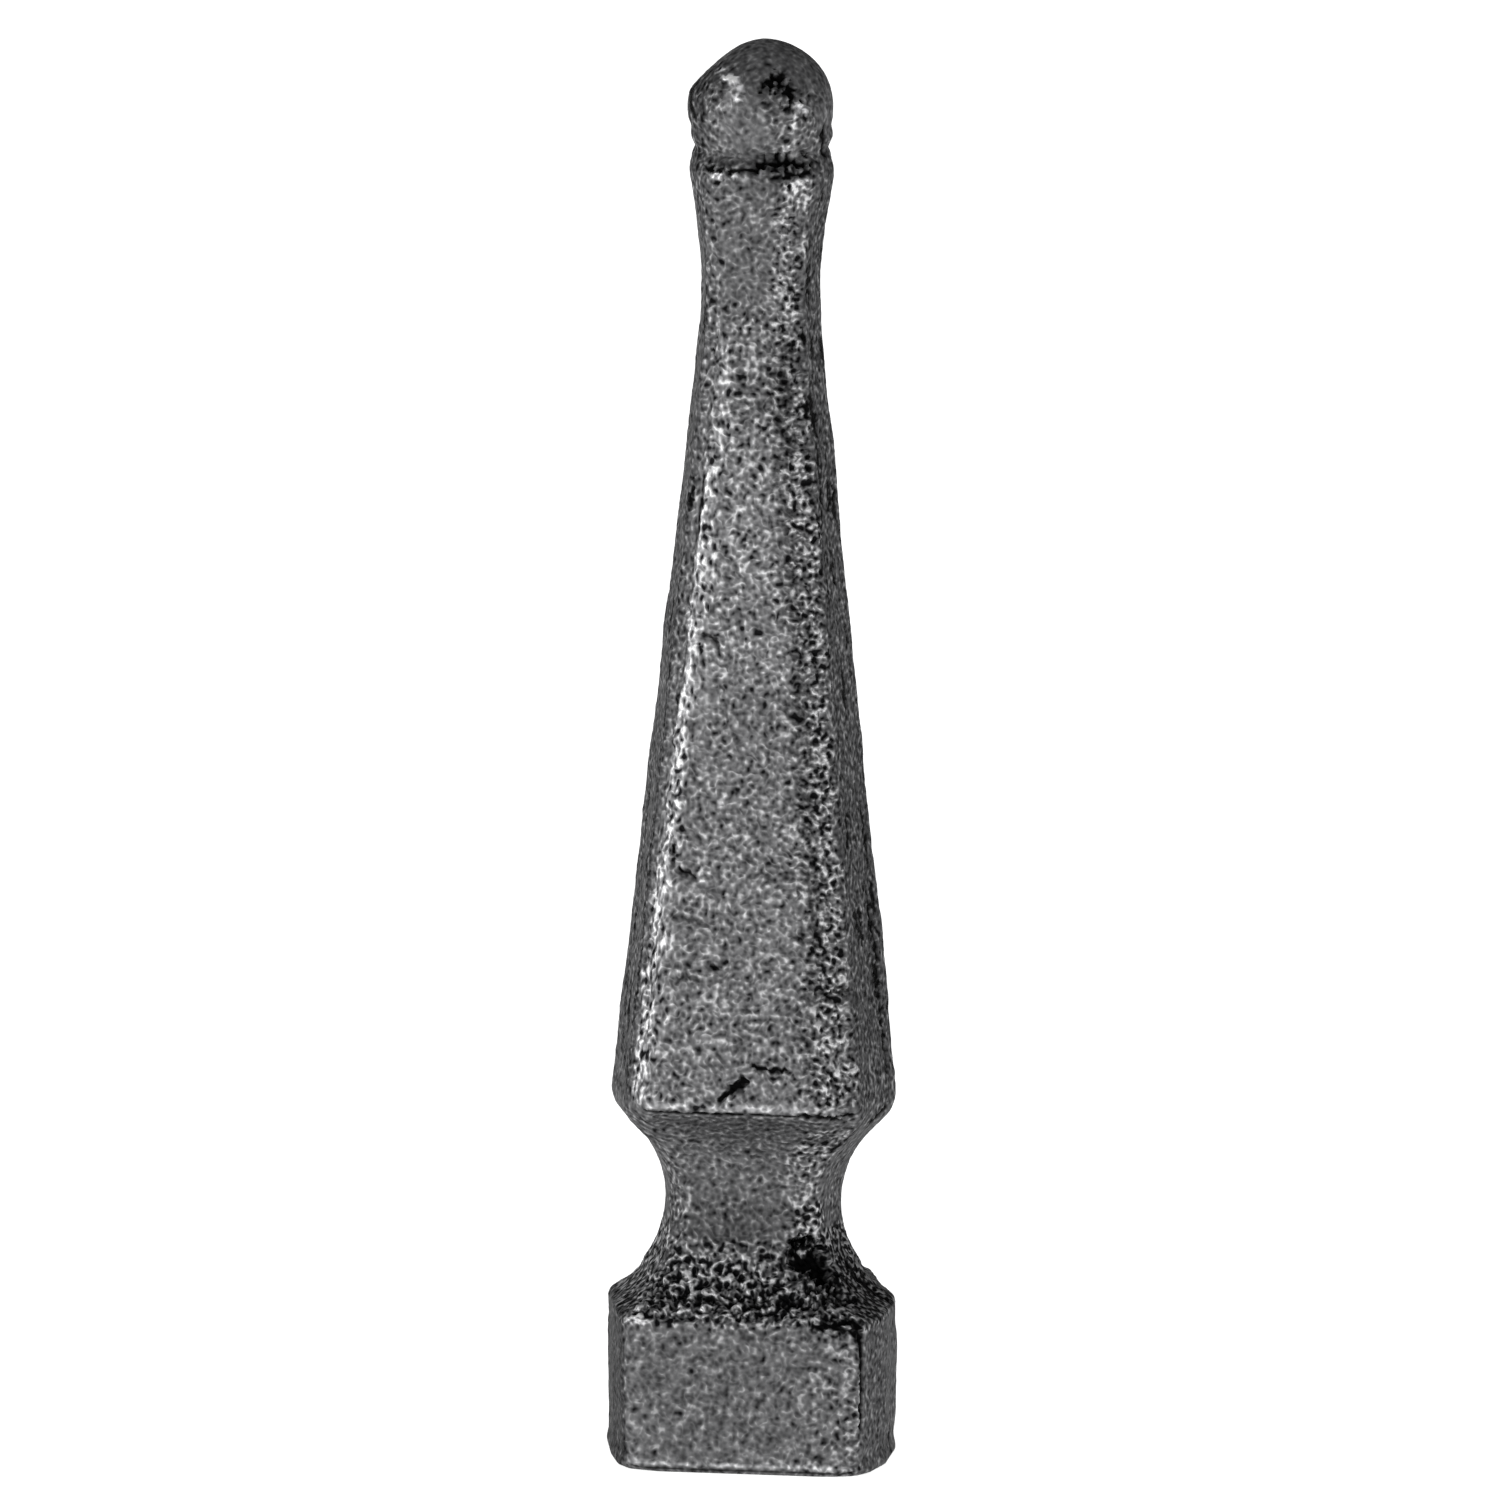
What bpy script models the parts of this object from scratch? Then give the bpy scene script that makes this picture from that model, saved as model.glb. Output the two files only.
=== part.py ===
"""A fence spear point: one solid iron casting that is fixed to the end of a one-inch square picket.

It stands on its foot block. From the foot up it is a square block, a cove that forms a neck, a shaft
that tapers to a second neck, a flared collar, a groove and a round knob. It was cast lying down in a
mould of two halves. They parted along the X-Z plane, so every form is widest there and narrows to a
flat front face at -Y and a like back face at +Y.
"""

import math

import bmesh
import bpy

MM = 0.001

# Foot block
BLOCK_WIDTH = 25.4 * MM
BLOCK_DEPTH = 23.4 * MM
BLOCK_HEIGHT = 13.6 * MM
FOOT_WIDTH = 25.1 * MM
FOOT_ROLL = 0.9 * MM
FOOT_FLAT_RADIUS = 4.0 * MM
BLOCK_EDGE_RADIUS = 0.45 * MM

# Cove between the block and the shaft, a round hollow whose lips run out at 45 degrees.
# It is cut a little higher in the flat faces than in the sides.
COVE_HEIGHT = 17.5 * MM
FACE_COVE_HEIGHT = 19.0 * MM
COVE_DEPTH = 4.9 * MM

# Tapering shaft
SHAFT_FOOT_WIDTH = 25.48 * MM
SHAFT_FOOT_DEPTH = 23.6 * MM
SHAFT_FOOT_RADIUS = 3.0 * MM
FACE_FOOT_RADIUS = 1.0 * MM
SHAFT_LENGTH = 74.5 * MM

# Neck under the collar, where the straight faces of the shaft and the flare would meet
NECK_WIDTH = 9.56 * MM
NECK_DEPTH = 9.1 * MM
NECK_RADIUS = 46.0 * MM

# Collar, and the shoulder that runs from its lip into the groove
COLLAR_WIDTH = 13.3 * MM
COLLAR_DEPTH = 12.9 * MM
FLARE_LENGTH = 9.4 * MM
COLLAR_LIP_RADIUS = 2.2 * MM
SHOULDER_HEIGHT = 1.3 * MM
SHOULDER_STEP = 1.2 * MM

# Knob, with the flat that the mould left on its upper left
KNOB_DIAMETER = 12.6 * MM
KNOB_SINK = 2.82 * MM
KNOB_FLAT_DEPTH = 0.55 * MM
KNOB_FLAT_ANGLE = math.radians(136)

# Plan of the block: how far its flat faces reach to left and right, and how the sides swell
BLOCK_FACE_LEFT = 10.0 * MM
BLOCK_FACE_RIGHT = 10.9 * MM
BLOCK_SWELL_LEFT = 0.3 * MM
BLOCK_SWELL_RIGHT = 0.7 * MM
SWELL_PLACE_SHARE = 0.5

# Plan of the shaft as shares of its half width and half depth, so that its facets narrow with it
FACE_LEFT_SHARE = 0.65
FACE_RIGHT_SHARE = 0.56
CHAMFER_LEFT_SHARE = 0.815
CHAMFER_RIGHT_SHARE = 0.825
CHAMFER_DEPTH_SHARE = 0.81
NECK_FACE_SHARE = 0.84
ARRIS_SHARE = 0.085

# Fineness of the facets
SIDE_IN_ARCS = 0.96
LEAST_STEP = 0.12 * MM
ARRIS_STEPS = 2
FACE_COLUMNS = 4
SIDE_COLUMNS = 2
LARGE_ARC_STEPS = 12
SMALL_ARC_STEPS = 4
KNOB_RINGS = 12
FOOT_RINGS = 3

# Heights worked out from the sizes above
COVE_TOP = BLOCK_HEIGHT + COVE_HEIGHT
NECK_Z = COVE_TOP + SHAFT_LENGTH
COLLAR_Z = NECK_Z + FLARE_LENGTH
GROOVE_Z = COLLAR_Z + SHOULDER_HEIGHT
KNOB_RADIUS = KNOB_DIAMETER / 2
KNOB_Z = GROOVE_Z + KNOB_RADIUS - KNOB_SINK


def clear_scene():
    """Takes every object out of the scene, so that the part stands alone."""
    for obj in list(bpy.data.objects):
        bpy.data.objects.remove(obj, do_unlink=True)


def lerp(start, end, share):
    return start + (end - start) * share


def mix_points(first, second, share):
    """Points that lie between two lists of points, one by one."""
    return [tuple(lerp(a, b, share) for a, b in zip(p, q)) for p, q in zip(first, second)]


def arc_points(before, corner, after, reach, steps):
    """Points of the circular arc that rounds a corner off and touches both of its sides."""
    length_before = math.dist(before, corner)
    length_after = math.dist(after, corner)
    unit_before = [(b - c) / length_before for b, c in zip(before, corner)]
    unit_after = [(a - c) / length_after for a, c in zip(after, corner)]
    half_turn = turn_at(before, corner, after) / 2
    points = []
    for step in range(steps + 1):
        share = step / steps
        weight = (1 - share) ** 2 + 2 * share * (1 - share) * math.cos(half_turn) + share**2
        back = reach * (1 - share) ** 2 / weight
        on = reach * share**2 / weight
        points.append(tuple(c + back * b + on * a for c, b, a in zip(corner, unit_before, unit_after)))
    return points


def turn_at(before, corner, after):
    """How far a line turns at a corner."""
    first = math.atan2(corner[1] - before[1], corner[0] - before[0])
    second = math.atan2(after[1] - corner[1], after[0] - corner[0])
    return abs(math.remainder(second - first, 2 * math.pi))


def round_corners(corners, radii, steps):
    """One arc for each corner of a closed outline, each kept within the sides that it touches."""
    count = len(corners)
    around = [(corners[i - 1], corners[i], corners[(i + 1) % count]) for i in range(count)]
    reaches = [radius * math.tan(turn_at(*three) / 2) for radius, three in zip(radii, around)]
    limits = list(reaches)
    for i in range(count):
        j = (i + 1) % count
        room = math.dist(corners[i], corners[j]) * SIDE_IN_ARCS
        needed = reaches[i] + reaches[j]
        if needed > room:
            limits[i] = min(limits[i], reaches[i] * room / needed)
            limits[j] = min(limits[j], reaches[j] * room / needed)
    return [arc_points(*three, reach, n) for three, reach, n in zip(around, limits, steps)]


def side_profile(foot, block, cove_height, shaft_foot, shaft_radius, neck, collar):
    """The outline of one side from the foot to the groove, as (height, half size) points.

    Each size is a full width or depth. The cove is one rounded corner: its two lips, carried on at 45
    degrees, would meet behind its middle.
    """
    cove_vertex = (block + shaft_foot) / 4 - cove_height / 2
    cove_radius = (cove_height / 2 - COVE_DEPTH) / (math.sqrt(2) - 1)
    cove_top = BLOCK_HEIGHT + cove_height
    corners = [
        ((0.0, foot / 2), 0.0, 1),
        ((BLOCK_HEIGHT, block / 2), BLOCK_EDGE_RADIUS, SMALL_ARC_STEPS),
        (((BLOCK_HEIGHT + cove_top) / 2, cove_vertex), cove_radius, LARGE_ARC_STEPS),
        ((cove_top, shaft_foot / 2), shaft_radius, SMALL_ARC_STEPS),
        ((NECK_Z, neck / 2), NECK_RADIUS, LARGE_ARC_STEPS),
        ((COLLAR_Z, collar / 2), COLLAR_LIP_RADIUS, SMALL_ARC_STEPS),
        ((GROOVE_Z, collar / 2 - SHOULDER_STEP), 0.0, 1),
    ]
    arcs = round_corners(*zip(*corners))
    points = [corners[0][0]]
    for arc in arcs[1:-1]:
        points += arc
    return points + [corners[-1][0]]


def size_at(profile, height):
    """The half size that a profile has at a height."""
    for (low, start), (high, end) in zip(profile, profile[1:]):
        if height <= high:
            return lerp(start, end, (height - low) / (high - low))
    return profile[-1][1]


def block_plan(half_width, half_depth):
    """The block's front: its flat face, and sides that swell out to the parting line."""
    cut_back = BLOCK_WIDTH / 2 - half_width
    side_y = SWELL_PLACE_SHARE * half_depth
    left = (-1, BLOCK_FACE_LEFT, BLOCK_SWELL_LEFT)
    right = (1, BLOCK_FACE_RIGHT, BLOCK_SWELL_RIGHT)
    front = []
    for side, face, swell in (left, right):
        face_x = face - cut_back
        side_x = lerp(half_width, face_x, SWELL_PLACE_SHARE) + swell
        front.append([(side * side_x, -side_y), (side * face_x, -half_depth)])
    return front


def shaft_plan(half_width, half_depth, narrowing):
    """The shaft's front: its flat face, a chamfer on each side of it, and drafted sides."""
    side_y = CHAMFER_DEPTH_SHARE * half_depth
    left = (-FACE_LEFT_SHARE, -CHAMFER_LEFT_SHARE)
    right = (FACE_RIGHT_SHARE, CHAMFER_RIGHT_SHARE)
    front = []
    for face, chamfer in (left, right):
        face_x = face * narrowing * half_width
        front.append([(chamfer * half_width, -side_y), (face_x, -half_depth)])
    return front


def plan(half_width, front, arris_radius):
    """The closed plan, counter-clockwise from the parting line on the right.

    Both halves of the mould were pressed from one half pattern, so the back is the front turned half
    round. The arrises are rounded, and faces and sides are divided, so that each plan has as many
    points as the next and they can be joined from the foot to the knob.
    """
    (left_side, left_face), (right_side, right_face) = front
    half = [(-half_width, 0.0), left_side, left_face, right_face, right_side]
    corners = [(-x, -y) for x, y in half] + half
    count = len(corners)
    arcs = round_corners(corners, [arris_radius] * count, [ARRIS_STEPS] * count)
    between = [SIDE_COLUMNS, 0, FACE_COLUMNS, 0, SIDE_COLUMNS] * 2
    points = []
    for i, arc in enumerate(arcs):
        points += arc
        following = arcs[(i + 1) % count][0]
        for column in range(1, between[i] + 1):
            points += mix_points([arc[-1]], [following], column / (between[i] + 1))
    return points


def round_plan(like, radius):
    """A circle whose points lie in the same directions as those of another plan."""
    return [(radius * x / math.hypot(x, y), radius * y / math.hypot(x, y)) for x, y in like]


def smooth(share):
    share = max(0.0, min(1.0, share))
    return share * share * (3 - 2 * share)


def body_plan(half_width, half_depth, height):
    """The plan at a height: square in the block, chamfered above it, and rounder at the collar."""
    arris = ARRIS_SHARE * half_width
    run = COLLAR_Z - NECK_Z if height > NECK_Z else NECK_Z - COVE_TOP
    to_neck = 1 - min(1, abs(height - NECK_Z) / run)
    narrowing = lerp(1, NECK_FACE_SHARE, to_neck)
    chamfered = plan(half_width, shaft_plan(half_width, half_depth, narrowing), arris)
    from_block = smooth((height - BLOCK_HEIGHT) / (COVE_HEIGHT / 4))
    if from_block < 1:
        square = plan(half_width, block_plan(half_width, half_depth), arris)
        return mix_points(square, chamfered, from_block)
    to_round = smooth((height - NECK_Z) / (GROOVE_Z - NECK_Z))
    return mix_points(chamfered, round_plan(chamfered, (half_width + half_depth) / 2), to_round)


def plan_heights(wide, deep):
    """The heights that need a plan between the rolled foot and the groove, lowest first."""
    heights = [FOOT_ROLL]
    for height, _ in sorted(wide + deep):
        if height > heights[-1] + LEAST_STEP:
            heights.append(height)
    return heights


def foot_plans():
    """The plans of the underside's rolled edge, which lifts most at the four corners."""
    plans = []
    for ring in range(FOOT_RINGS):
        share = ring / FOOT_RINGS
        inset = FOOT_ROLL * (1 - share) ** 2 / 2
        height = FOOT_ROLL * share**2
        half_width = FOOT_WIDTH / 2 - inset
        front = block_plan(half_width, BLOCK_DEPTH / 2 - inset)
        arris = lerp(FOOT_FLAT_RADIUS, ARRIS_SHARE * FOOT_WIDTH / 2, share)
        plans.append((height, plan(half_width, front, arris)))
    return plans


def knob_plans(like):
    """The plans of the knob, from the groove to just under its top."""
    start = math.asin((KNOB_SINK - KNOB_RADIUS) / KNOB_RADIUS)
    plans = []
    for ring in range(1, KNOB_RINGS):
        angle = lerp(start, math.pi / 2, ring / KNOB_RINGS)
        height = KNOB_Z + KNOB_RADIUS * math.sin(angle)
        plans.append((height, round_plan(like, KNOB_RADIUS * math.cos(angle))))
    return plans


def flatten_knob(mesh_part):
    """Presses the knob's upper left down to the plane of its flat."""
    normal = (math.cos(KNOB_FLAT_ANGLE), math.sin(KNOB_FLAT_ANGLE))
    limit = KNOB_RADIUS - KNOB_FLAT_DEPTH
    for vertex in mesh_part.verts:
        out = vertex.co.x * normal[0] + (vertex.co.z - KNOB_Z) * normal[1]
        if vertex.co.z > GROOVE_Z and out > limit:
            vertex.co.x -= (out - limit) * normal[0]
            vertex.co.z -= (out - limit) * normal[1]


def spear_point_mesh():
    """Joins all the plans, from the flat underside to the top of the knob, into one closed skin."""
    wide = side_profile(
        FOOT_WIDTH,
        BLOCK_WIDTH,
        COVE_HEIGHT,
        SHAFT_FOOT_WIDTH,
        SHAFT_FOOT_RADIUS,
        NECK_WIDTH,
        COLLAR_WIDTH,
    )
    deep = side_profile(
        BLOCK_DEPTH,
        BLOCK_DEPTH,
        FACE_COVE_HEIGHT,
        SHAFT_FOOT_DEPTH,
        FACE_FOOT_RADIUS,
        NECK_DEPTH,
        COLLAR_DEPTH,
    )
    plans = foot_plans()
    for height in plan_heights(wide, deep):
        half_width, half_depth = size_at(wide, height), size_at(deep, height)
        plans.append((height, body_plan(half_width, half_depth, height)))
    plans += knob_plans(plans[-1][1])

    casting = bmesh.new()
    rings = [[casting.verts.new((x, y, z)) for x, y in points] for z, points in plans]
    casting.faces.new(reversed(rings[0]))
    for lower, upper in zip(rings, rings[1:]):
        for i in range(len(lower)):
            j = (i + 1) % len(lower)
            casting.faces.new((lower[i], lower[j], upper[j], upper[i]))
    top = casting.verts.new((0, 0, KNOB_Z + KNOB_RADIUS))
    for i, vertex in enumerate(rings[-1]):
        casting.faces.new((vertex, rings[-1][(i + 1) % len(rings[-1])], top))
    flatten_knob(casting)

    mesh = bpy.data.meshes.new("spear_point")
    casting.to_mesh(mesh)
    casting.free()
    mesh.shade_smooth()
    mesh.set_sharp_from_angle(angle=math.radians(30))
    return mesh


def cast_iron():
    """Bare sand-cast grey iron: dark, dull and only faintly metallic to the eye."""
    material = bpy.data.materials.new("cast_iron")
    material.use_nodes = True
    shader = material.node_tree.nodes["Principled BSDF"]
    shader.inputs["Base Color"].default_value = (0.11, 0.11, 0.112, 1)
    shader.inputs["Metallic"].default_value = 0.8
    shader.inputs["Roughness"].default_value = 0.6
    return material


def build():
    clear_scene()
    mesh = spear_point_mesh()
    mesh.materials.append(cast_iron())
    bpy.context.scene.collection.objects.link(bpy.data.objects.new("spear_point", mesh))


build()
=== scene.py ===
import math

import bpy
import numpy as np
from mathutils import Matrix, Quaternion, Vector


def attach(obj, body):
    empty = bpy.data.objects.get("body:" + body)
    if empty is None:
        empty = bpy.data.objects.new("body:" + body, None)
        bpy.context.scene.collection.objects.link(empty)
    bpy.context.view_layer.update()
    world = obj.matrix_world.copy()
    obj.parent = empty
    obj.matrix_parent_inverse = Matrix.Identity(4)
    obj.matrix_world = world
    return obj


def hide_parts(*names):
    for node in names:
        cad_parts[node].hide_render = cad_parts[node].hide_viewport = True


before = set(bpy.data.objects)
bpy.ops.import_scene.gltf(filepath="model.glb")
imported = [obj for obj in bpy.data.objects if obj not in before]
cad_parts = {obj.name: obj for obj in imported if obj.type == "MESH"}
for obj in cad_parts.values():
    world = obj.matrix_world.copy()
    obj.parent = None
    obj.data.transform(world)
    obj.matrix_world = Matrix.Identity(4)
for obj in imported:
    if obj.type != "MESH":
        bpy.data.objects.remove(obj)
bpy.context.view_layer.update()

# A fence spear point: one sand-cast grey iron finial for a one-inch square picket.
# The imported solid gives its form. Here a copy of that solid becomes an even skin, and what the sand
# left is worked into it: grain, coarse burnt-on lumps, pits, cold laps, and flash at the parting line.
# Sizes in the tables below are in millimetres, from the middle of the underside, front towards -Y.

MM = 0.001
GROUP_STEPS = 25
WAVE_COUNT = 24


# Handling the skin

def skin_array(values, part):
    """One value of every point, such as its place or normal, as rows of three numbers."""
    flat = np.zeros(len(values) * 3, np.float32)
    values.foreach_get(part, flat)
    return flat.reshape(-1, 3).astype(float)


def skin_points(piece):
    """The piece's points in millimetres."""
    return skin_array(piece.data.vertices, "co") / MM


def skin_normals(piece):
    return skin_array(piece.data.vertex_normals, "vector")


def set_points(piece, points):
    piece.data.vertices.foreach_set("co", (points * MM).astype(np.float32).ravel())
    piece.data.update()


def keep_values(piece, name, values):
    """Stores one number a point, for the material to read."""
    attribute = piece.data.attributes.new(name, "FLOAT", "POINT")
    attribute.data.foreach_set("value", values.astype(np.float32))


def add_group(piece, name, weights):
    """Adds a vertex group of these weights, in even steps."""
    group = piece.vertex_groups.new(name=name)
    levels = np.round(np.clip(weights, 0, 1) * GROUP_STEPS).astype(int)
    for level in range(1, GROUP_STEPS + 1):
        members = np.nonzero(levels == level)[0]
        if len(members):
            group.add(members.tolist(), level / GROUP_STEPS, "REPLACE")


def select_only(piece):
    bpy.ops.object.select_all(action="DESELECT")
    piece.select_set(True)
    bpy.context.view_layer.objects.active = piece


def apply_modifier(piece, kind, **settings):
    """Adds a modifier with its settings and applies it at once."""
    select_only(piece)
    modifier = piece.modifiers.new(kind.title(), kind)
    for name, value in settings.items():
        setattr(modifier, name, value)
    bpy.ops.object.modifier_apply(modifier=modifier.name)


def soft_step(low, high, value):
    """0 below low, 1 above high, and a smooth rise between them."""
    share = np.clip((value - low) / (high - low), 0, 1)
    return share * share * (3 - 2 * share)


def band(low, high, soft, value):
    """1 between low and high, fading to 0 over the soft distance outside them."""
    return soft_step(low - soft, low, value) * (1 - soft_step(high, high + soft, value))


def lerp(start, end, share):
    return start + (end - start) * share


def waves(points, pitch, seed):
    """A smooth random field, about -1 to 1, whose bumps are a pitch apart."""
    draw = np.random.default_rng(seed)
    field = np.zeros(len(points))
    for _ in range(WAVE_COUNT):
        direction = draw.normal(size=3)
        direction /= np.linalg.norm(direction)
        turns = direction * draw.uniform(0.7, 1.3) / pitch
        field += np.cos(2 * math.pi * (points @ turns + draw.uniform()))
    return field * math.sqrt(2 / WAVE_COUNT) * 0.6


def line_distance(points, normals, path):
    """How far each point is from a bent line, mostly across the surface and little through it."""
    through = 0.3
    best = np.full(len(points), np.inf)
    stops = np.array(path, float)
    if len(stops) == 1:
        # A single point becomes a very short line
        stops = np.array([stops[0], stops[0] + (0, 0, 0.01)])
    for start, end in zip(stops, stops[1:]):
        run = end - start
        share = np.clip((points - start) @ run / (run @ run), 0, 1)
        gap = points - (start + share[:, None] * run)
        depth = np.einsum("ij,ij->i", gap, normals)
        across = np.linalg.norm(gap - depth[:, None] * normals, axis=1)
        best = np.minimum(best, np.hypot(across, through * depth))
    return best


# The casting's skin

# The voxels are fine enough for the sand grain, and the triangle count keeps the grain's shape
SKIN_PITCH = 0.24
SKIN_TRIANGLES = 190000
SAME_POINT = 0.002
KNOB_FOOT = (116.5, 118)
COVE = (18, 30)

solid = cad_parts["spear_point"]
casting = bpy.data.objects.new("spear_point_casting", solid.data.copy())
bpy.context.scene.collection.objects.link(casting)
casting.data.materials.clear()
select_only(casting)
bpy.ops.object.mode_set(mode="EDIT")
bpy.ops.mesh.select_all(action="SELECT")
bpy.ops.mesh.remove_doubles(threshold=SAME_POINT * MM)
bpy.ops.mesh.normals_make_consistent(inside=False)
bpy.ops.object.mode_set(mode="OBJECT")
solid_points = skin_points(casting)
apply_modifier(casting, "REMESH", mode="VOXEL", voxel_size=SKIN_PITCH * MM, use_smooth_shade=True)
# The voxels leave a ripple, so the skin is laid back on the solid. The knob and the cove, which are
# round on the casting and faceted in the solid, are smoothed further.
apply_modifier(casting, "SHRINKWRAP", target=solid, wrap_method="NEAREST_SURFACEPOINT")
apply_modifier(casting, "SMOOTH", factor=0.5, iterations=2)
skin_height = skin_points(casting)[:, 2]
round_forms = np.maximum(soft_step(*KNOB_FOOT, skin_height), band(*COVE, 1, skin_height))
round_group = casting.vertex_groups.new(name="round_forms")
round_group.add(np.nonzero(round_forms > 0.5)[0].tolist(), 1, "REPLACE")
apply_modifier(casting, "SMOOTH", factor=0.5, iterations=40, vertex_group="round_forms")

# Facets. Each height of the casting has five facets to its front: a side, a chamfer, the flat face,
# a chamfer and a side. By height, the rows below give where the skin changes from one to the next,
# as shares of the half width there. The skin's change wanders a little off the solid's own arrises.

ring_heights = np.unique(np.round(solid_points[:, 2], 2))
ring_widths = []
for ring_height in ring_heights:
    ring = np.abs(solid_points[:, 2] - ring_height) < 0.02
    ring_widths.append(np.abs(solid_points[ring, 0]).max())
ARRIS_HEIGHTS = (13.6, 18, 28, 34, 50, 67, 83, 95, 112, 118)
ARRISES = (
    (-0.80, -0.815, -0.815, -0.79, -0.77, -0.71, -0.65, -0.58, -0.60, -0.815),
    (-0.775, -0.65, -0.65, -0.67, -0.66, -0.53, -0.46, -0.38, -0.46, -0.65),
    (0.855, 0.56, 0.56, 0.50, 0.51, 0.50, 0.43, 0.32, 0.32, 0.56),
    (0.87, 0.825, 0.825, 0.82, 0.82, 0.82, 0.82, 0.80, 0.78, 0.825),
)
OUTERMOST = 1.02


def facet_place(points):
    """Across the front: -2, -1, 1 and 2 are the arrises, -3 and 3 the parting line.
    The back is the front turned half round, but each side is one surface from front to back."""
    height = points[:, 2]
    half_width = np.interp(height, ring_heights, ring_widths)
    across = np.where(points[:, 1] > 0, -points[:, 0], points[:, 0]) / half_width
    stops = [np.interp(height, ARRIS_HEIGHTS, shares) for shares in ARRISES]
    marks = [np.full(len(points), -OUTERMOST)] + stops + [np.full(len(points), OUTERMOST)]
    places = (-3, -2, -1, 1, 2, 3)
    facet = np.full(len(points), -3.0)
    for low, high, start, end in zip(marks, marks[1:], places, places[1:]):
        share = np.clip((across - low) / (high - low), 0, 1)
        facet += share * (end - start)
    to_side = np.sign(points[:, 0])
    return np.where(np.abs(facet) > 2, np.abs(facet) * to_side, facet)


# How deep the sand grain is, and how light the skin is painted, by height and facet. Besides the iron's
# plain tone, the tone paints light and shade as the lamps fall: lighter on the left chamfer and the neck's
# left, darker on the sides, on the knob's left and in the zones named shade.
# name, lowest, highest, facet from, facet to, grain, tone
ZONES = [
    ("knob", 117.2, 127, -3, 3, 0.42, 0.84),
    ("knob_left", 116.5, 124, -3.2, -0.9, 0.9, 0.42),
    ("knob_right", 117.5, 122, 0.4, 1.9, 1.05, 0.63),
    ("collar", 103, 116, -1.4, 1, 0.55, 0.77),
    ("neck", 92, 103, -2, 1, 0.76, 0.95),
    ("neck_right", 100, 114, 1, 1.9, 0.86, 1.16),
    ("neck_shade", 90, 100, 0.9, 1.5, 0.95, 0.4),
    ("neck_shade_edge", 90, 100, 1.5, 1.9, 0.95, 1.02),
    ("neck_left", 91, 100, -1.7, -0.9, 0.82, 2.4),
    ("upper_shaft", 70, 92, -1, 1, 0.66, 1.33),
    ("lower_shaft", 33.5, 70, -1, 1, 0.61, 1.1),
    ("left_chamfer", 34, 91, -1.8, -1, 0.84, 2.1),
    ("chamfer_shade", 34, 90, 0.9, 1.25, 0.74, 0.84),
    ("right_chamfer", 34, 90, 1.3, 1.9, 1.03, 1.12),
    ("left_side", 31, 117, -3.2, -2, 0.66, 0.77),
    ("right_side", 31, 117, 2, 3.2, 0.62, 0.68),
    ("upper_cove", 24, 32, -3.2, 3.2, 0.5, 0.83),
    ("middle_cove", 19.5, 26, -2, 1, 0.52, 0.63),
    ("cove_left", 17, 27, -2.1, -1, 0.98, 0.87),
    ("cove_right", 19, 30, 0.95, 1.9, 1.25, 1.12),
    ("lower_cove", 13.8, 19.5, -2.1, 2.2, 1.5, 0.98),
    ("lower_cove_shade", 13.8, 18.5, 0.7, 2.4, 1.6, 0.32),
    ("lower_cove_left", 13.8, 19.5, -3.2, -2.1, 1.3, 1.05),
    ("lower_cove_right", 13.8, 19.5, 2.2, 3.2, 2.8, 0.48),
    ("block_face", -1, 13.2, -1.2, 0.75, 0.5, 0.84),
    ("block_face_edge", -1, 13.2, 0.75, 1.05, 0.78, 0.97),
    ("block_left", -1, 13.6, -3.2, -1.8, 0.58, 0.5),
    ("block_right", -1, 13.6, 1.9, 3.2, 0.5, 0.78),
]


ZONE_FADE_HEIGHT = 1.2
ZONE_FADE_FACET = 0.25
PLAIN_GRAIN = 0.5
PLAIN_TONE = 0.8


def zone_values(height, facet):
    """Each point's grain, and its tone with painted light and shade: the mean of its zones, or the plain
    values outside them all.
    """
    total = np.full(len(height), 1e-4)
    grain = total * PLAIN_GRAIN
    tone_and_painted_light = total * PLAIN_TONE
    for _, low, high, start, end, depth, light in ZONES:
        weight = band(low, high, ZONE_FADE_HEIGHT, height) * band(start, end, ZONE_FADE_FACET, facet)
        weight = weight**2
        total += weight
        grain += weight * depth
        tone_and_painted_light += weight * light
    return grain / total, tone_and_painted_light / total


def press(piece, name, pitch, depth, group, stretch=None, turn=0, noise_depth=1):
    """Works sand of one pitch into the skin along its normals, where the group says. A stretch and a
    turn in degrees about Y draw the sand out in one direction."""
    texture = bpy.data.textures.new(name, "CLOUDS")
    texture.noise_scale = pitch * MM
    texture.noise_depth = noise_depth
    settings = {
        "texture": texture,
        "strength": depth * MM,
        "mid_level": 0.5,
        "vertex_group": group,
        "texture_coords": "LOCAL",
    }
    direction = None
    if stretch:
        direction = bpy.data.objects.new("grain_direction", None)
        bpy.context.scene.collection.objects.link(direction)
        direction.scale = stretch
        direction.rotation_euler = (0, math.radians(turn), 0)
        bpy.context.view_layer.update()
        settings["texture_coords"] = "OBJECT"
        settings["texture_coords_object"] = direction
    apply_modifier(piece, "DISPLACE", **settings)
    if direction:
        bpy.data.objects.remove(direction)


# Every place is read off the skin before anything is worked into it
points = skin_points(casting)
facet = facet_place(points) + 0.12 * waves(points, 3.0, 5)
height = points[:, 2]
grain, tone_and_painted_light = zone_values(height, facet)
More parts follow.
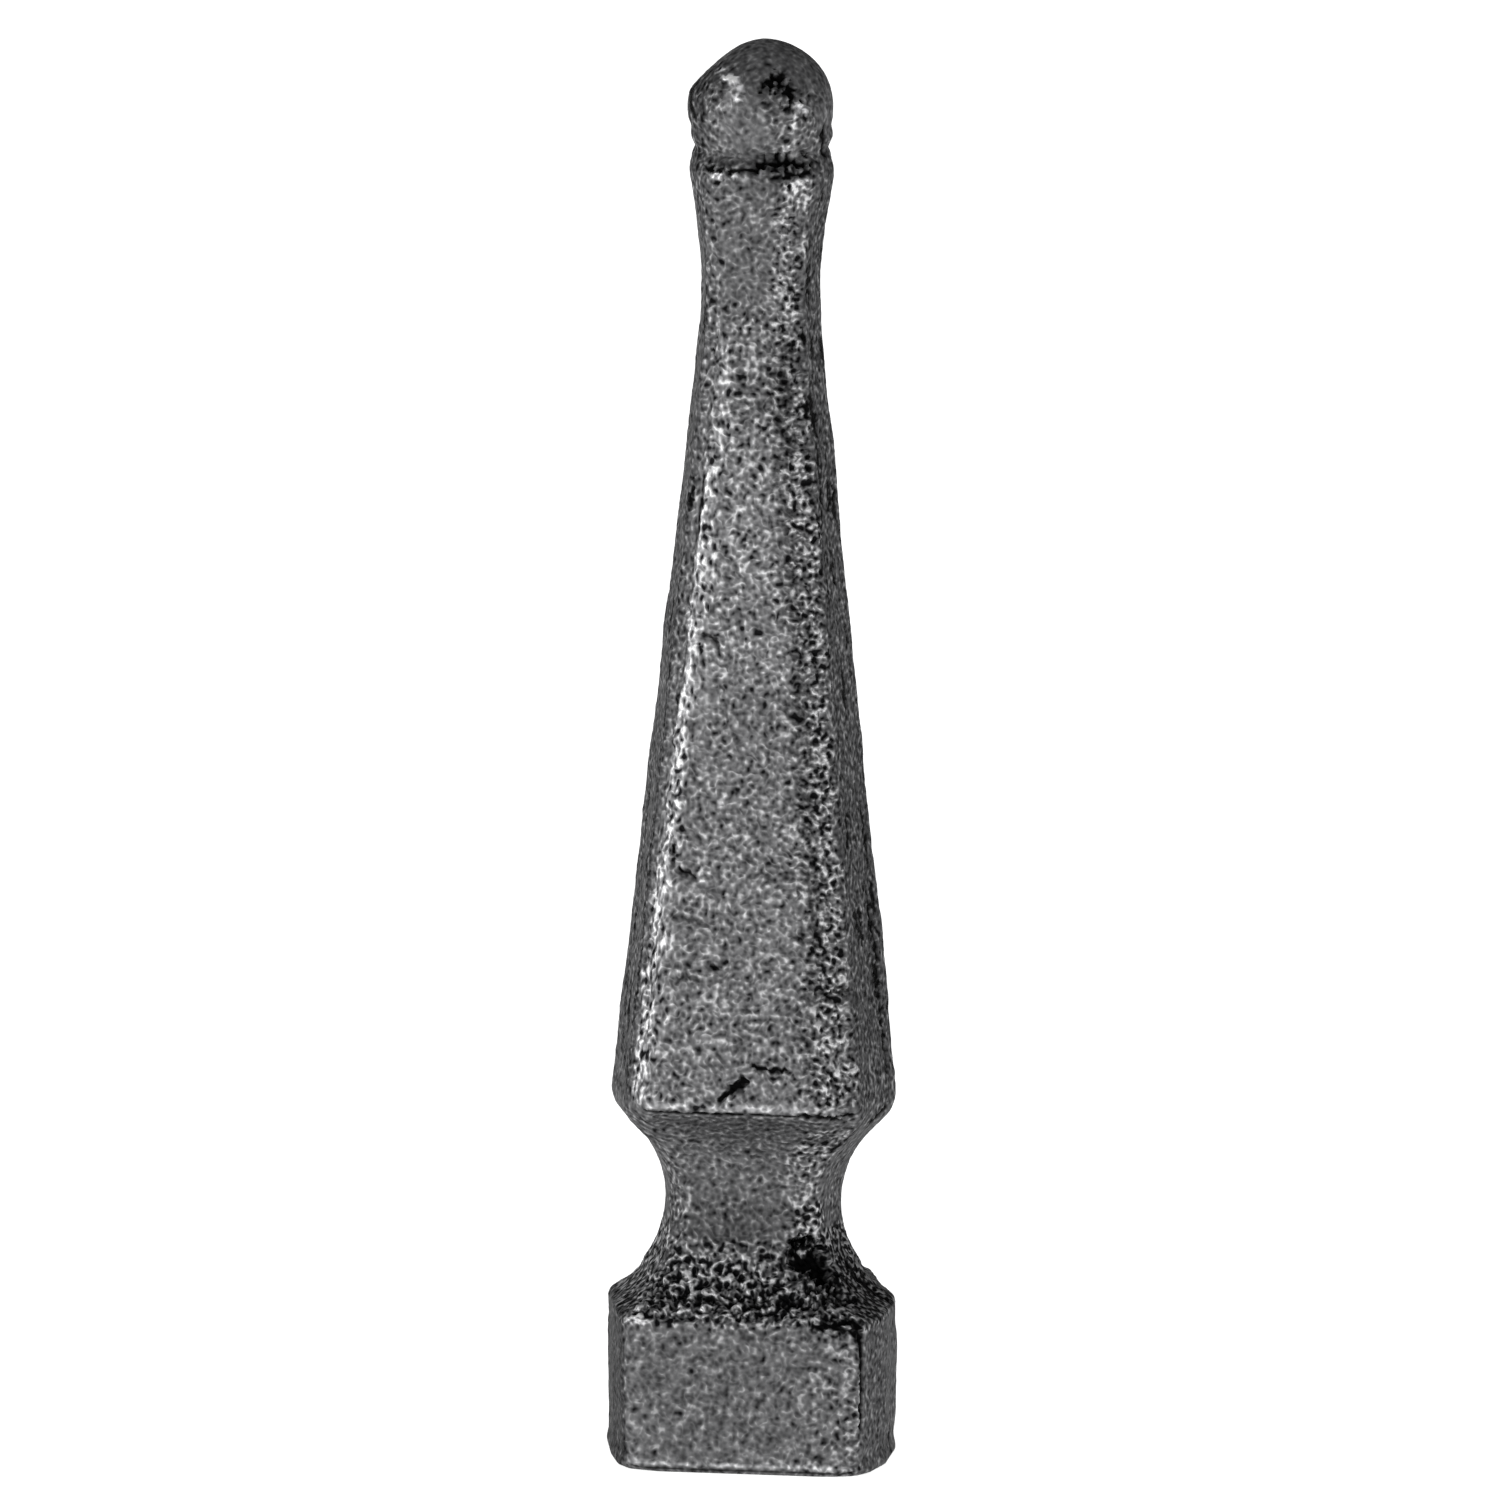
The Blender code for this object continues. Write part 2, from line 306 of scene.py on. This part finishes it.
# The knob's outline is even and the underside flat, so the larger unevenness fades out there
body = lerp(1, 0.1, soft_step(112, 117, height)) * soft_step(0, 2, height)
lumps = soft_step(13.4, 14.2, height) * (1 - soft_step(16.5, 20.6, height)) * band(-1.7, 1.9, 0.5, facet)
hammered = band(33.8, 112, 1.5, height) * band(1, 1.95, 0.2, facet)
drawn = band(33.8, 100, 2, height) * band(-1.95, -0.9, 0.2, facet)
add_group(casting, "body", body)
add_group(casting, "grain", grain * soft_step(0.1, 0.5, height))
add_group(casting, "lumps", lumps)
add_group(casting, "hammered", hammered)
add_group(casting, "drawn", drawn)

press(casting, "sagging_mould", 7.0, 0.24, "body")
press(casting, "uneven_ramming", 2.4, 0.1, "body")
# From here the grain is measured: its height over this level skin paints the iron lighter on raised grains
# and darker in hollows, a painted highlight and painted shade
level_skin = skin_points(casting)
level_normals = skin_normals(casting)
press(casting, "sand_grain", 0.55, 0.15, "grain")
press(casting, "burnt_on_lumps", 0.6, 0.85, "lumps", (1, 1, 1.5), -12)
press(casting, "hammered_chamfer", 0.45, 0.32, "hammered", (1.5, 1.0, 0.75), 30, noise_depth=0)
press(casting, "drawn_chamfer", 0.5, 0.22, "drawn", (0.75, 1.0, 2.2), 4, noise_depth=0)

# Single marks sunk in the skin and painted black, some in their own black and some as painted shadow: name,
# path, half width, depth, blackness, raggedness
MARKS = [
    ("cove_pit", [(5.5, -7.2, 19.0), (6.5, -6.6, 18.7), (7.0, -6.9, 17.7)],
     1.8, 1.3, 1.0, 0.25),
    ("cove_pit_top", [(4.1, -7.3, 20.1), (6.0, -6.3, 20.3)], 0.3, 0.4, 1.0, 0.6),
    ("cove_pit_foot", [(6.7, -8.3, 16.6), (8.3, -7.5, 15.5)], 0.9, 0.4, 0.85, 1.1),
    # Painted shadow along the cove's foot, above the block's top edge
    ("cove_foot_dark", [(-8.0, -9.3, 15.2), (-2.0, -9.8, 15.0), (3.5, -9.6, 14.9)], 0.35, 0.25, 0.9, 1.4),
    ("cove_foot_right", [(3.5, -9.8, 14.8), (8.5, -9.0, 14.6), (10.5, -6.5, 14.9)], 0.55, 0.2, 0.95, 1.1),
    ("cove_ridge", [(8.7, -2.8, 17.4), (9.8, -2.5, 16.1), (11.4, -2.0, 14.7), (12.3, -1.8, 13.9)],
     0.6, 0.15, 1.0, 0.4),
    ("shaft_pit_low", [(-1.6, -11.7, 33.7), (-0.8, -11.6, 34.3)], 0.36, 0.3, 1.0, 0.5),
    ("shaft_pit_high", [(-0.5, -11.6, 34.8), (0.5, -11.5, 35.2)], 0.48, 0.4, 1.0, 0.6),
    ("shaft_scratch", [(1.1, -11.41, 36.6), (2.5, -11.42, 36.35), (4.2, -11.42, 36.4)], 0.3, 0.2, 1.0, 0.6),
    ("bent_lap", [(-6.3, -9.45, 55.6), (-6.0, -9.7, 53.8), (-4.3, -9.76, 53.1)], 0.28, 0.25, 1.0, 0.5),
    ("upper_lap", [(-3.9, -7.65, 74.4), (-2.6, -7.73, 73.6)], 0.26, 0.25, 0.9, 0.5),
    ("thin_lap", [(-5.85, -10.1, 49.6), (-2.7, -10.2, 49.0)], 0.2, 0.15, 0.6, 0.7),
    ("thin_lap_low", [(-5.4, -10.6, 44.5), (-3.6, -10.7, 43.9)], 0.2, 0.15, 0.5, 0.7),
    ("chamfer_lap", [(6.7, -10.3, 43.0), (9.0, -8.6, 43.2)], 0.25, 0.2, 0.8, 0.6),
    ("small_pit", [(-2.4, -10.56, 45.1)], 0.36, 0.3, 1.0, 0.4),
    ("knob_pit", [(0.7, -5.5, 122.5), (1.5, -5.0, 123.2), (1.9, -4.6, 123.7)], 0.42, 0.25, 1.0, 1.2),
    ("knob_pit_right", [(1.8, -4.9, 123.1), (2.6, -4.9, 122.7), (3.1, -5.0, 121.8)], 0.6, 0.3, 1.0, 1.0),
    ("knob_pit_low", [(2.3, -5.6, 120.8), (3.5, -5.0, 121.1)], 0.26, 0.2, 1.0, 0.6),
    # Painted shadow in the groove under the knob
    ("groove_dark", [(0.2, -6.0, 115.6), (1.0, -5.6, 115.9), (3.1, -4.9, 115.9), (4.2, -4.0, 115.8)],
     0.5, 0.3, 1.0, 0.9),
    ("groove_low", [(1.6, -5.9, 115.0), (2.7, -5.8, 114.6), (3.5, -5.2, 114.9), (4.6, -4.4, 114.8)],
     0.45, 0.2, 1.0, 1.1),
    ("groove_line", [(-4.4, -4.5, 115.1), (-1.7, -6.0, 115.1), (0.2, -6.0, 115.5)], 0.25, 0.12, 1.0, 0.9),
    ("collar_pit", [(-3.5, -5.5, 114.0), (-2.8, -5.7, 114.2)], 0.26, 0.15, 1.0, 0.5),
    # Painted shadow under the shaft's lower edge
    ("shaft_edge_line", [(-8.5, -11.4, 32.3), (1.8, -11.5, 32.3), (4.5, -11.4, 32.2), (7, -11.5, 32.3)],
     0.17, 0.12, 1.0, 0.5),
    ("shaft_edge_black", [(5.6, -11.5, 32.1), (7.0, -11.5, 32.2), (8.0, -10.6, 31.9), (9.6, -9.6, 32.0)],
     0.4, 0.2, 1.0, 0.8),
    ("side_edge_black", [(10.9, -4.3, 30.6), (11.9, -2.3, 31.4)], 0.5, 0.2, 1.0, 0.6),
    # Painted shade along the block's right front arris and top corner
    ("block_arris_line", [(10.9, -11.3, 12.9), (10.9, -11.3, 9.7), (10.85, -11.2, 4.6)],
     0.28, 0.22, 1.0, 0.5),
    ("block_corner_black", [(7.0, -11.7, 13.6), (8.2, -11.6, 13.7), (9.4, -11.3, 14.0), (10.9, -11.3, 12.9)],
     0.62, 0.25, 1.0, 0.7),
    ("block_foot_line", [(-11, -11.6, 0.4), (10.6, -11.6, 0.4)], 0.17, 0.1, 0.9, 0.5),
    ("seam_dark", [(10.3, -2.6, 50.3), (10.65, -1.9, 47.1), (11.45, -1.95, 39.0), (11.9, -1.6, 35.0)],
     0.55, 0.25, 1.0, 1.0),
    ("block_seam", [(12.4, -2.5, 5.0), (12.35, -2.5, 0.8)], 0.3, 0.15, 0.9, 0.6),
    ("knob_ledge", [(-5.7, -1.4, 122.3), (-5.85, -1.9, 121.1), (-5.7, -2.4, 120.3), (-5.2, -3.4, 119.4)],
     0.45, 0.03, 1.0, 0.4),
    ("flake_shadow", [(5.8, -2.0, 118.7), (5.4, -2.5, 117.8), (5.2, -2.0, 116.8), (5.5, -1.4, 116.0)],
     0.35, 0.2, 1.0, 0.3),
    ("collar_notch", [(5.6, -2.3, 112.9), (5.6, -2.1, 112.1)], 0.4, 0.15, 0.95, 0.7),
    ("left_side_line", [(-8.9, -2.3, 61.8), (-10.0, -2.8, 51.2), (-11.0, -3.4, 40.5), (-11.4, -3.9, 35.2)],
     0.3, 0.12, 0.7, 1.2),
    ("left_arris_low", [(-10.2, -8.6, 34.5), (-9.5, -8.6, 43.0), (-8.7, -7.4, 54.9)], 0.22, 0.12, 0.8, 1.1),
    ("left_arris_high", [(-8.7, -7.4, 54.9), (-8.0, -6.5, 64.5), (-7.0, -5.8, 75.2)], 0.2, 0.12, 0.7, 1.2),
    ("right_arris_shade", [(6.9, -10.6, 42.0), (5.9, -9.1, 55.0), (3.9, -7.5, 75.0), (2.6, -6.3, 90.0)],
     0.5, 0.05, 0.4, 1.3),
]
# Short black dashes where the two halves of the mould met badly, three in four on the right side. The
# side faces lean in towards the front, so a dash nearer the front lies closer to the middle.
DASHES = 34
SIDE_LEAN = 0.2
draw = np.random.default_rng(12)
for i in range(DASHES):
    low = draw.uniform(34, 108)
    y = -draw.uniform(0.4, 6.2)
    side = 1 if i % 4 else -1
    path = []
    for z in (low, low + draw.uniform(0.8, 2.8)):
        path.append((side * (np.interp(z, ring_heights, ring_widths) + SIDE_LEAN * y), y, z))
    MARKS.append(("dash", path, 0.4, 0.1, 1.0, 0.9))

# Places painted bright, mostly painted highlights and glints on the knob, the collar, the cove pit's rim and
# the lower edges of the shaft and the block, with a few bright nicks on the shaft: path, half width, tone
HIGHLIGHTS_AND_NICKS = [
    ([(5.3, -7.0, 19.5), (5.8, -6.8, 19.4)], 0.4, 6),
    ([(-2.5, -4.5, 123.4), (-2.0, -4.9, 123.1)], 0.6, 8),
    ([(-1.4, -5.4, 122.6)], 0.4, 6),
    ([(-1.7, -5.7, 121.8)], 0.4, 4),
    ([(-3.4, -3.3, 124.1)], 0.6, 4),
    ([(3.6, -5.0, 120.7), (4.2, -4.6, 120.5)], 0.5, 4.5),
    ([(3.3, -5.2, 119.6)], 0.45, 3.5),
    ([(2.8, -5.0, 117.0)], 0.45, 3.5),
    ([(-3.9, -5.2, 114.5), (-3.0, -5.6, 114.8)], 0.32, 4.5),
    ([(-1.6, -6.1, 114.9)], 0.35, 4),
    ([(0.7, -6.0, 114.9)], 0.35, 4),
    ([(3.3, -5.1, 114.0), (4.3, -4.9, 114.1)], 0.42, 4),
    ([(-2.1, -9.09, 59.6)], 0.5, 3.5),
    ([(-3.7, -9.8, 53.4), (-3.3, -9.8, 52.6)], 0.45, 3.5),
    ([(-9.5, -11.7, 32.9), (-3.6, -11.8, 33.0), (5.4, -11.7, 32.8), (8.8, -10.2, 32.4)], 0.28, 2.2),
    ([(-11, -11.7, 0.85), (10.6, -11.7, 0.85)], 0.24, 2.2),
    ([(-9.5, -11.5, 13.8), (-8.3, -11.5, 13.7)], 0.5, 3.5),
    ([(-6.7, -5.0, 20.6), (-6.9, -5.2, 19.2)], 0.55, 3.0),
]

points = skin_points(casting)
relief = np.einsum("ij,ij->i", points - level_skin, level_normals)
black_marks_and_shadow = np.zeros(len(points))
for i, (_, path, half_width, depth, black, ragged) in enumerate(MARKS):
    gap = line_distance(level_skin, level_normals, path)
    near = gap < half_width * 3
    rough = np.zeros(len(points))
    rough[near] = waves(points[near], 0.75, 100 + i)
    core = 1 - soft_step(0.6, 1.0, gap / half_width + ragged * rough)
    points -= level_normals * (core * depth)[:, None]
    black_marks_and_shadow = np.maximum(black_marks_and_shadow, core * black)
for path, half_width, bright in HIGHLIGHTS_AND_NICKS:
    gap = line_distance(level_skin, level_normals, path)
    core = 1 - soft_step(0.4, 1.0, gap / half_width + 0.4 * waves(points, 0.7, 77))
    tone_and_painted_light = lerp(tone_and_painted_light, bright, core)
    black_marks_and_shadow = black_marks_and_shadow * (1 - core)

# Flash stands along the parting line in a low broken fin, but not in the cove or on the knob
FIN_HEIGHT = 0.08
to_side = np.sign(level_skin[:, 0])
right_hand = level_skin[:, 0] > 0
half_width = np.interp(height, ring_heights, ring_widths)
outer = soft_step(0.5, 0.85, np.abs(level_skin[:, 0]) / half_width)
fin = band(-0.14, 0.14, 0.22, level_skin[:, 1]) * soft_step(0.1, 0.7, waves(points, 6.0, 31))
fin *= soft_step(0.6, 2.0, height) * (1 - soft_step(112, 115, height)) * (1 - band(13, 31, 1, height))
points[:, 0] += to_side * fin * FIN_HEIGHT

# The outline's small uneven places, as pushes of both sides outwards or, where negative, inwards:
# name, lowest, highest, fade, push to the right, push to the left
SIDE_PUSHES = [
    ("dressed_cove_foot", 14.8, 15.8, 1.1, -0.45, -0.4),
    ("swollen_block", 3.5, 10.5, 2.0, 0.16, 0),
    ("filled_groove", 116.3, 117.3, 1.2, 0.42, 0.45),
    ("swollen_knob", 119.0, 121.0, 1.4, 0, 0.3),
]
for _, low, high, fade, right, left in SIDE_PUSHES:
    points[:, 0] += to_side * outer * band(low, high, fade, height) * np.where(right_hand, right, left)
# The block's back corners are dressed away further, and its foot is left square
back_corner = band(12.9, 15.5, 1.6, height) * soft_step(1, 6, level_skin[:, 1])
points[:, 0] -= to_side * outer * back_corner * np.where(right_hand, 0.9, 0.7)
points[:, 0] += to_side * outer * 0.5 * (1 - soft_step(-0.6, 1.8, height))
# The knob's top is ground down, more to the left
ground = 0.22 + 0.3 * soft_step(-0.5, 3, -level_skin[:, 0])
points[:, 2] -= soft_step(121.5, 126, height) * ground

points[:, 2] = np.maximum(points[:, 2], 0)
set_points(casting, points)
# The tone holds painted light and shade, and the black holds painted shadow as well as the marks' own black
keep_values(casting, "grain_depth", grain)
keep_values(casting, "iron_tone_and_painted_light", tone_and_painted_light)
keep_values(casting, "black_marks_and_shadow", black_marks_and_shadow)
keep_values(casting, "relief_height", relief)
keep_values(casting, "drawn_out", np.maximum(drawn, 0.8 * lumps))
casting.vertex_groups.clear()
triangles = sum(len(face.vertices) - 2 for face in casting.data.polygons)
apply_modifier(casting, "DECIMATE", ratio=SKIN_TRIANGLES / triangles)
casting.data.shade_smooth()


# Colours and nodes

def linear(hex_colour):
    """An sRGB hex colour as the linear values that the shaders take."""
    shares = [int(hex_colour[i:i + 2], 16) / 255 for i in (1, 3, 5)]
    values = [s / 12.92 if s <= 0.04045 else ((s + 0.055) / 1.055) ** 2.4 for s in shares]
    return (*values, 1)


def add_node(tree, kind, settings=None, links=None):
    """Adds a node, sets its properties and sockets, and links its inputs from other sockets."""
    node = tree.nodes.new(kind)
    for name, value in (settings or {}).items():
        if isinstance(name, int) or name in node.inputs:
            node.inputs[name].default_value = value
        else:
            setattr(node, name, value)
    for name, source in (links or {}).items():
        tree.links.new(source, node.inputs[name])
    return node


def per_mm(pitch):
    """The scale of a pattern on Object coordinates, in metres, whose marks are a pitch apart."""
    return 1000 / pitch


def maths(operation, *values, **settings):
    """Adds a math node on numbers or sockets of the iron, and gives its result."""
    numbers = {i: value for i, value in enumerate(values) if isinstance(value, (int, float))}
    sockets = {i: value for i, value in enumerate(values) if i not in numbers}
    node = add_node(tree, "ShaderNodeMath", {"operation": operation, **settings, **numbers}, sockets)
    return node.outputs["Value"]


# Bare sand-cast grey iron: a dull grey metal with soft highlights. High grains are painted lighter and
# hollows painted near black, a painted highlight and painted shade that follow the relief, which is what
# makes the casting look rough to the eye.

iron = bpy.data.materials.new("bare_sand_cast_grey_iron")
iron.use_nodes = True
tree = iron.node_tree
shader = tree.nodes["Principled BSDF"]
shader.inputs["Metallic"].default_value = 0.85
shader.inputs["Specular Tint"].default_value = linear("#909090")
shader.inputs["Roughness"].default_value = 0.45
place = add_node(tree, "ShaderNodeTexCoord").outputs["Object"]
skin = {}
for name in ("grain_depth", "iron_tone_and_painted_light", "black_marks_and_shadow", "relief_height", "drawn_out"):
    node = add_node(tree, "ShaderNodeAttribute", {"attribute_name": name})
    skin[name] = node.outputs["Fac"]

# Sand grains leave fine bumps with wandering ridges between them. Moulding sand is 0.2 to 0.3 mm, and
# the bumps here are nearer half a millimetre, as coarse as the photograph shows them.
bumps = add_node(
    tree, "ShaderNodeTexNoise", {"Scale": per_mm(0.46), "Detail": 0.5, "Roughness": 0.35}, {"Vector": place}
)
# Where the pattern was drawn from the sand, the grain runs down in streaks
down = add_node(tree, "ShaderNodeMapping", {"Scale": (1, 1, 0.6)}, {"Vector": place})
streaks = add_node(
    tree,
    "ShaderNodeTexNoise",
    {"Scale": per_mm(0.4), "Detail": 0.5, "Roughness": 0.35},
    {"Vector": down.outputs["Vector"]},
)
grain_run = add_node(
    tree,
    "ShaderNodeMix",
    links={"Factor": skin["drawn_out"], "A": bumps.outputs["Fac"], "B": streaks.outputs["Fac"]},
)
wander = add_node(
    tree, "ShaderNodeTexNoise", {"Scale": per_mm(0.72), "Detail": 0, "Distortion": 0.4}, {"Vector": place}
)
RIDGE_SHARE = 1.1
GRAIN_MIDDLE = 0.4
RELIEF_SHARE = 1.4
CONTRAST = 2.0
ridge_gap = maths("ABSOLUTE", maths("SUBTRACT", wander.outputs["Fac"], 0.5))
rough = maths("MULTIPLY_ADD", ridge_gap, -RIDGE_SHARE, grain_run.outputs["Result"])
speckle = maths("MULTIPLY", maths("SUBTRACT", rough, GRAIN_MIDDLE), skin["grain_depth"])
# The relief's height paints raised grains lighter and hollows darker: painted highlight and painted shade
relief_light_and_shade = maths("MULTIPLY_ADD", skin["relief_height"], RELIEF_SHARE, speckle)
lightness = maths("MULTIPLY_ADD", relief_light_and_shade, CONTRAST, 0.5)
shade = add_node(tree, "ShaderNodeValToRGB", links={"Fac": lightness})
ramp = shade.color_ramp.elements
ramp[0].color = linear("#101011")
ramp[1].color = linear("#c8c8c9")
for position, grey in ((0.35, "#5a5a5b"), (0.5, "#6b6b6c"), (0.65, "#7e7e7f")):
    ramp.new(position).color = linear(grey)
toned = add_node(
    tree,
    "ShaderNodeVectorMath",
    {"operation": "SCALE"},
    {0: shade.outputs["Color"], "Scale": skin["iron_tone_and_painted_light"]},
)
# However bright its painted highlights and light tones, the iron stays duller than polished steel
toned = add_node(
    tree, "ShaderNodeVectorMath", {"operation": "MINIMUM", 1: (0.8, 0.8, 0.8)}, {0: toned.outputs["Vector"]}
)
# Gas leaves small black pinholes among the grains, deeper where the grain is
pinholes = add_node(tree, "ShaderNodeTexVoronoi", {"Scale": per_mm(1.3)}, {"Vector": place})
pinhole = add_node(
    tree,
    "ShaderNodeMapRange",
    {"From Min": 0.08, "From Max": 0.17, "To Min": 0.5, "To Max": 0.0},
    {"Value": pinholes.outputs["Distance"]},
)
pinhole = maths("MULTIPLY", pinhole.outputs["Result"], skin["grain_depth"], use_clamp=True)
# The Mix node's colours go in at 6 and 7 and come out at 2
blackened = add_node(
    tree,
    "ShaderNodeMix",
    {"data_type": "RGBA", 7: linear("#050505")},
    {"Factor": maths("MAXIMUM", pinhole, skin["black_marks_and_shadow"]), 6: toned.outputs["Vector"]},
)
bump = add_node(tree, "ShaderNodeBump", {"Strength": 1.0, "Distance": 0.2 * MM}, {"Height": speckle})
tree.links.new(blackened.outputs[2], shader.inputs["Base Color"])
tree.links.new(bump.outputs["Normal"], shader.inputs["Normal"])
casting.data.materials.append(iron)

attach(casting, "root")
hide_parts("spear_point")

# Floor and light: a white light table under an even white studio, with two soft panels

FLOOR_SIZE = 8
OBJECT_MIDDLE = Vector((0, 0, 0.062))
bpy.ops.object.select_all(action="DESELECT")
bpy.ops.mesh.primitive_plane_add(size=FLOOR_SIZE)
floor = bpy.context.object
floor.name = "floor"
lit_sheet = bpy.data.materials.new("white_light_table")
lit_sheet.use_nodes = True
sheet_shader = lit_sheet.node_tree.nodes["Principled BSDF"]
sheet_shader.inputs["Base Color"].default_value = linear("#f4f4f4")
sheet_shader.inputs["Roughness"].default_value = 0.9
sheet_shader.inputs["Emission Color"].default_value = linear("#ffffff")
sheet_shader.inputs["Emission Strength"].default_value = 0.85
floor.data.materials.append(lit_sheet)

world = bpy.data.worlds.new("studio")
bpy.context.scene.world = world
world.use_nodes = True
world.node_tree.nodes["Background"].inputs["Color"].default_value = linear("#ffffff")
world.node_tree.nodes["Background"].inputs["Strength"].default_value = 0.45


def add_softbox(name, turn, rise, distance, width, height, power):
    """A soft panel that faces the object, placed by its turn from the front and its rise."""
    turn, rise = math.radians(turn), math.radians(rise)
    away = Vector((math.sin(turn) * math.cos(rise), -math.cos(turn) * math.cos(rise), math.sin(rise)))
    light = bpy.data.lights.new(name, "AREA")
    light.shape = "RECTANGLE"
    light.size = width
    light.size_y = height
    light.energy = power
    panel = bpy.data.objects.new(name, light)
    bpy.context.scene.collection.objects.link(panel)
    panel.location = OBJECT_MIDDLE + away * distance
    panel.rotation_mode = "QUATERNION"
    panel.rotation_quaternion = away.to_track_quat("Z", "Y")


add_softbox("key_softbox", -55, 10, 1.0, 0.4, 0.6, 3)
add_softbox("front_fill", -8, 3, 1.4, 0.3, 0.5, 1)

# Camera at the photograph's angle, with a long lens from three metres

camera_turn = math.radians(6.5)
camera_rise = math.radians(11.8)
camera_roll = math.radians(0.48)
camera_distance = 3.0
frame_width = 131.35 * MM
sensor_width = 36
aside = 0.6 * MM
aim = Vector((-aside * math.cos(camera_turn), -aside * math.sin(camera_turn), 62.5 * MM))
back = Vector((
    math.sin(camera_turn) * math.cos(camera_rise),
    -math.cos(camera_turn) * math.cos(camera_rise),
    math.sin(camera_rise),
))
camera_data = bpy.data.cameras.new("camera")
camera_data.sensor_width = sensor_width
camera_data.lens = sensor_width * camera_distance / frame_width
camera_data.clip_end = 20
camera = bpy.data.objects.new("camera", camera_data)
bpy.context.scene.collection.objects.link(camera)
camera.location = aim + back * camera_distance
camera.rotation_mode = "QUATERNION"
camera.rotation_quaternion = Quaternion(back, camera_roll) @ back.to_track_quat("Z", "Y")
bpy.context.scene.camera = camera
bpy.context.scene.view_settings.view_transform = "Standard"
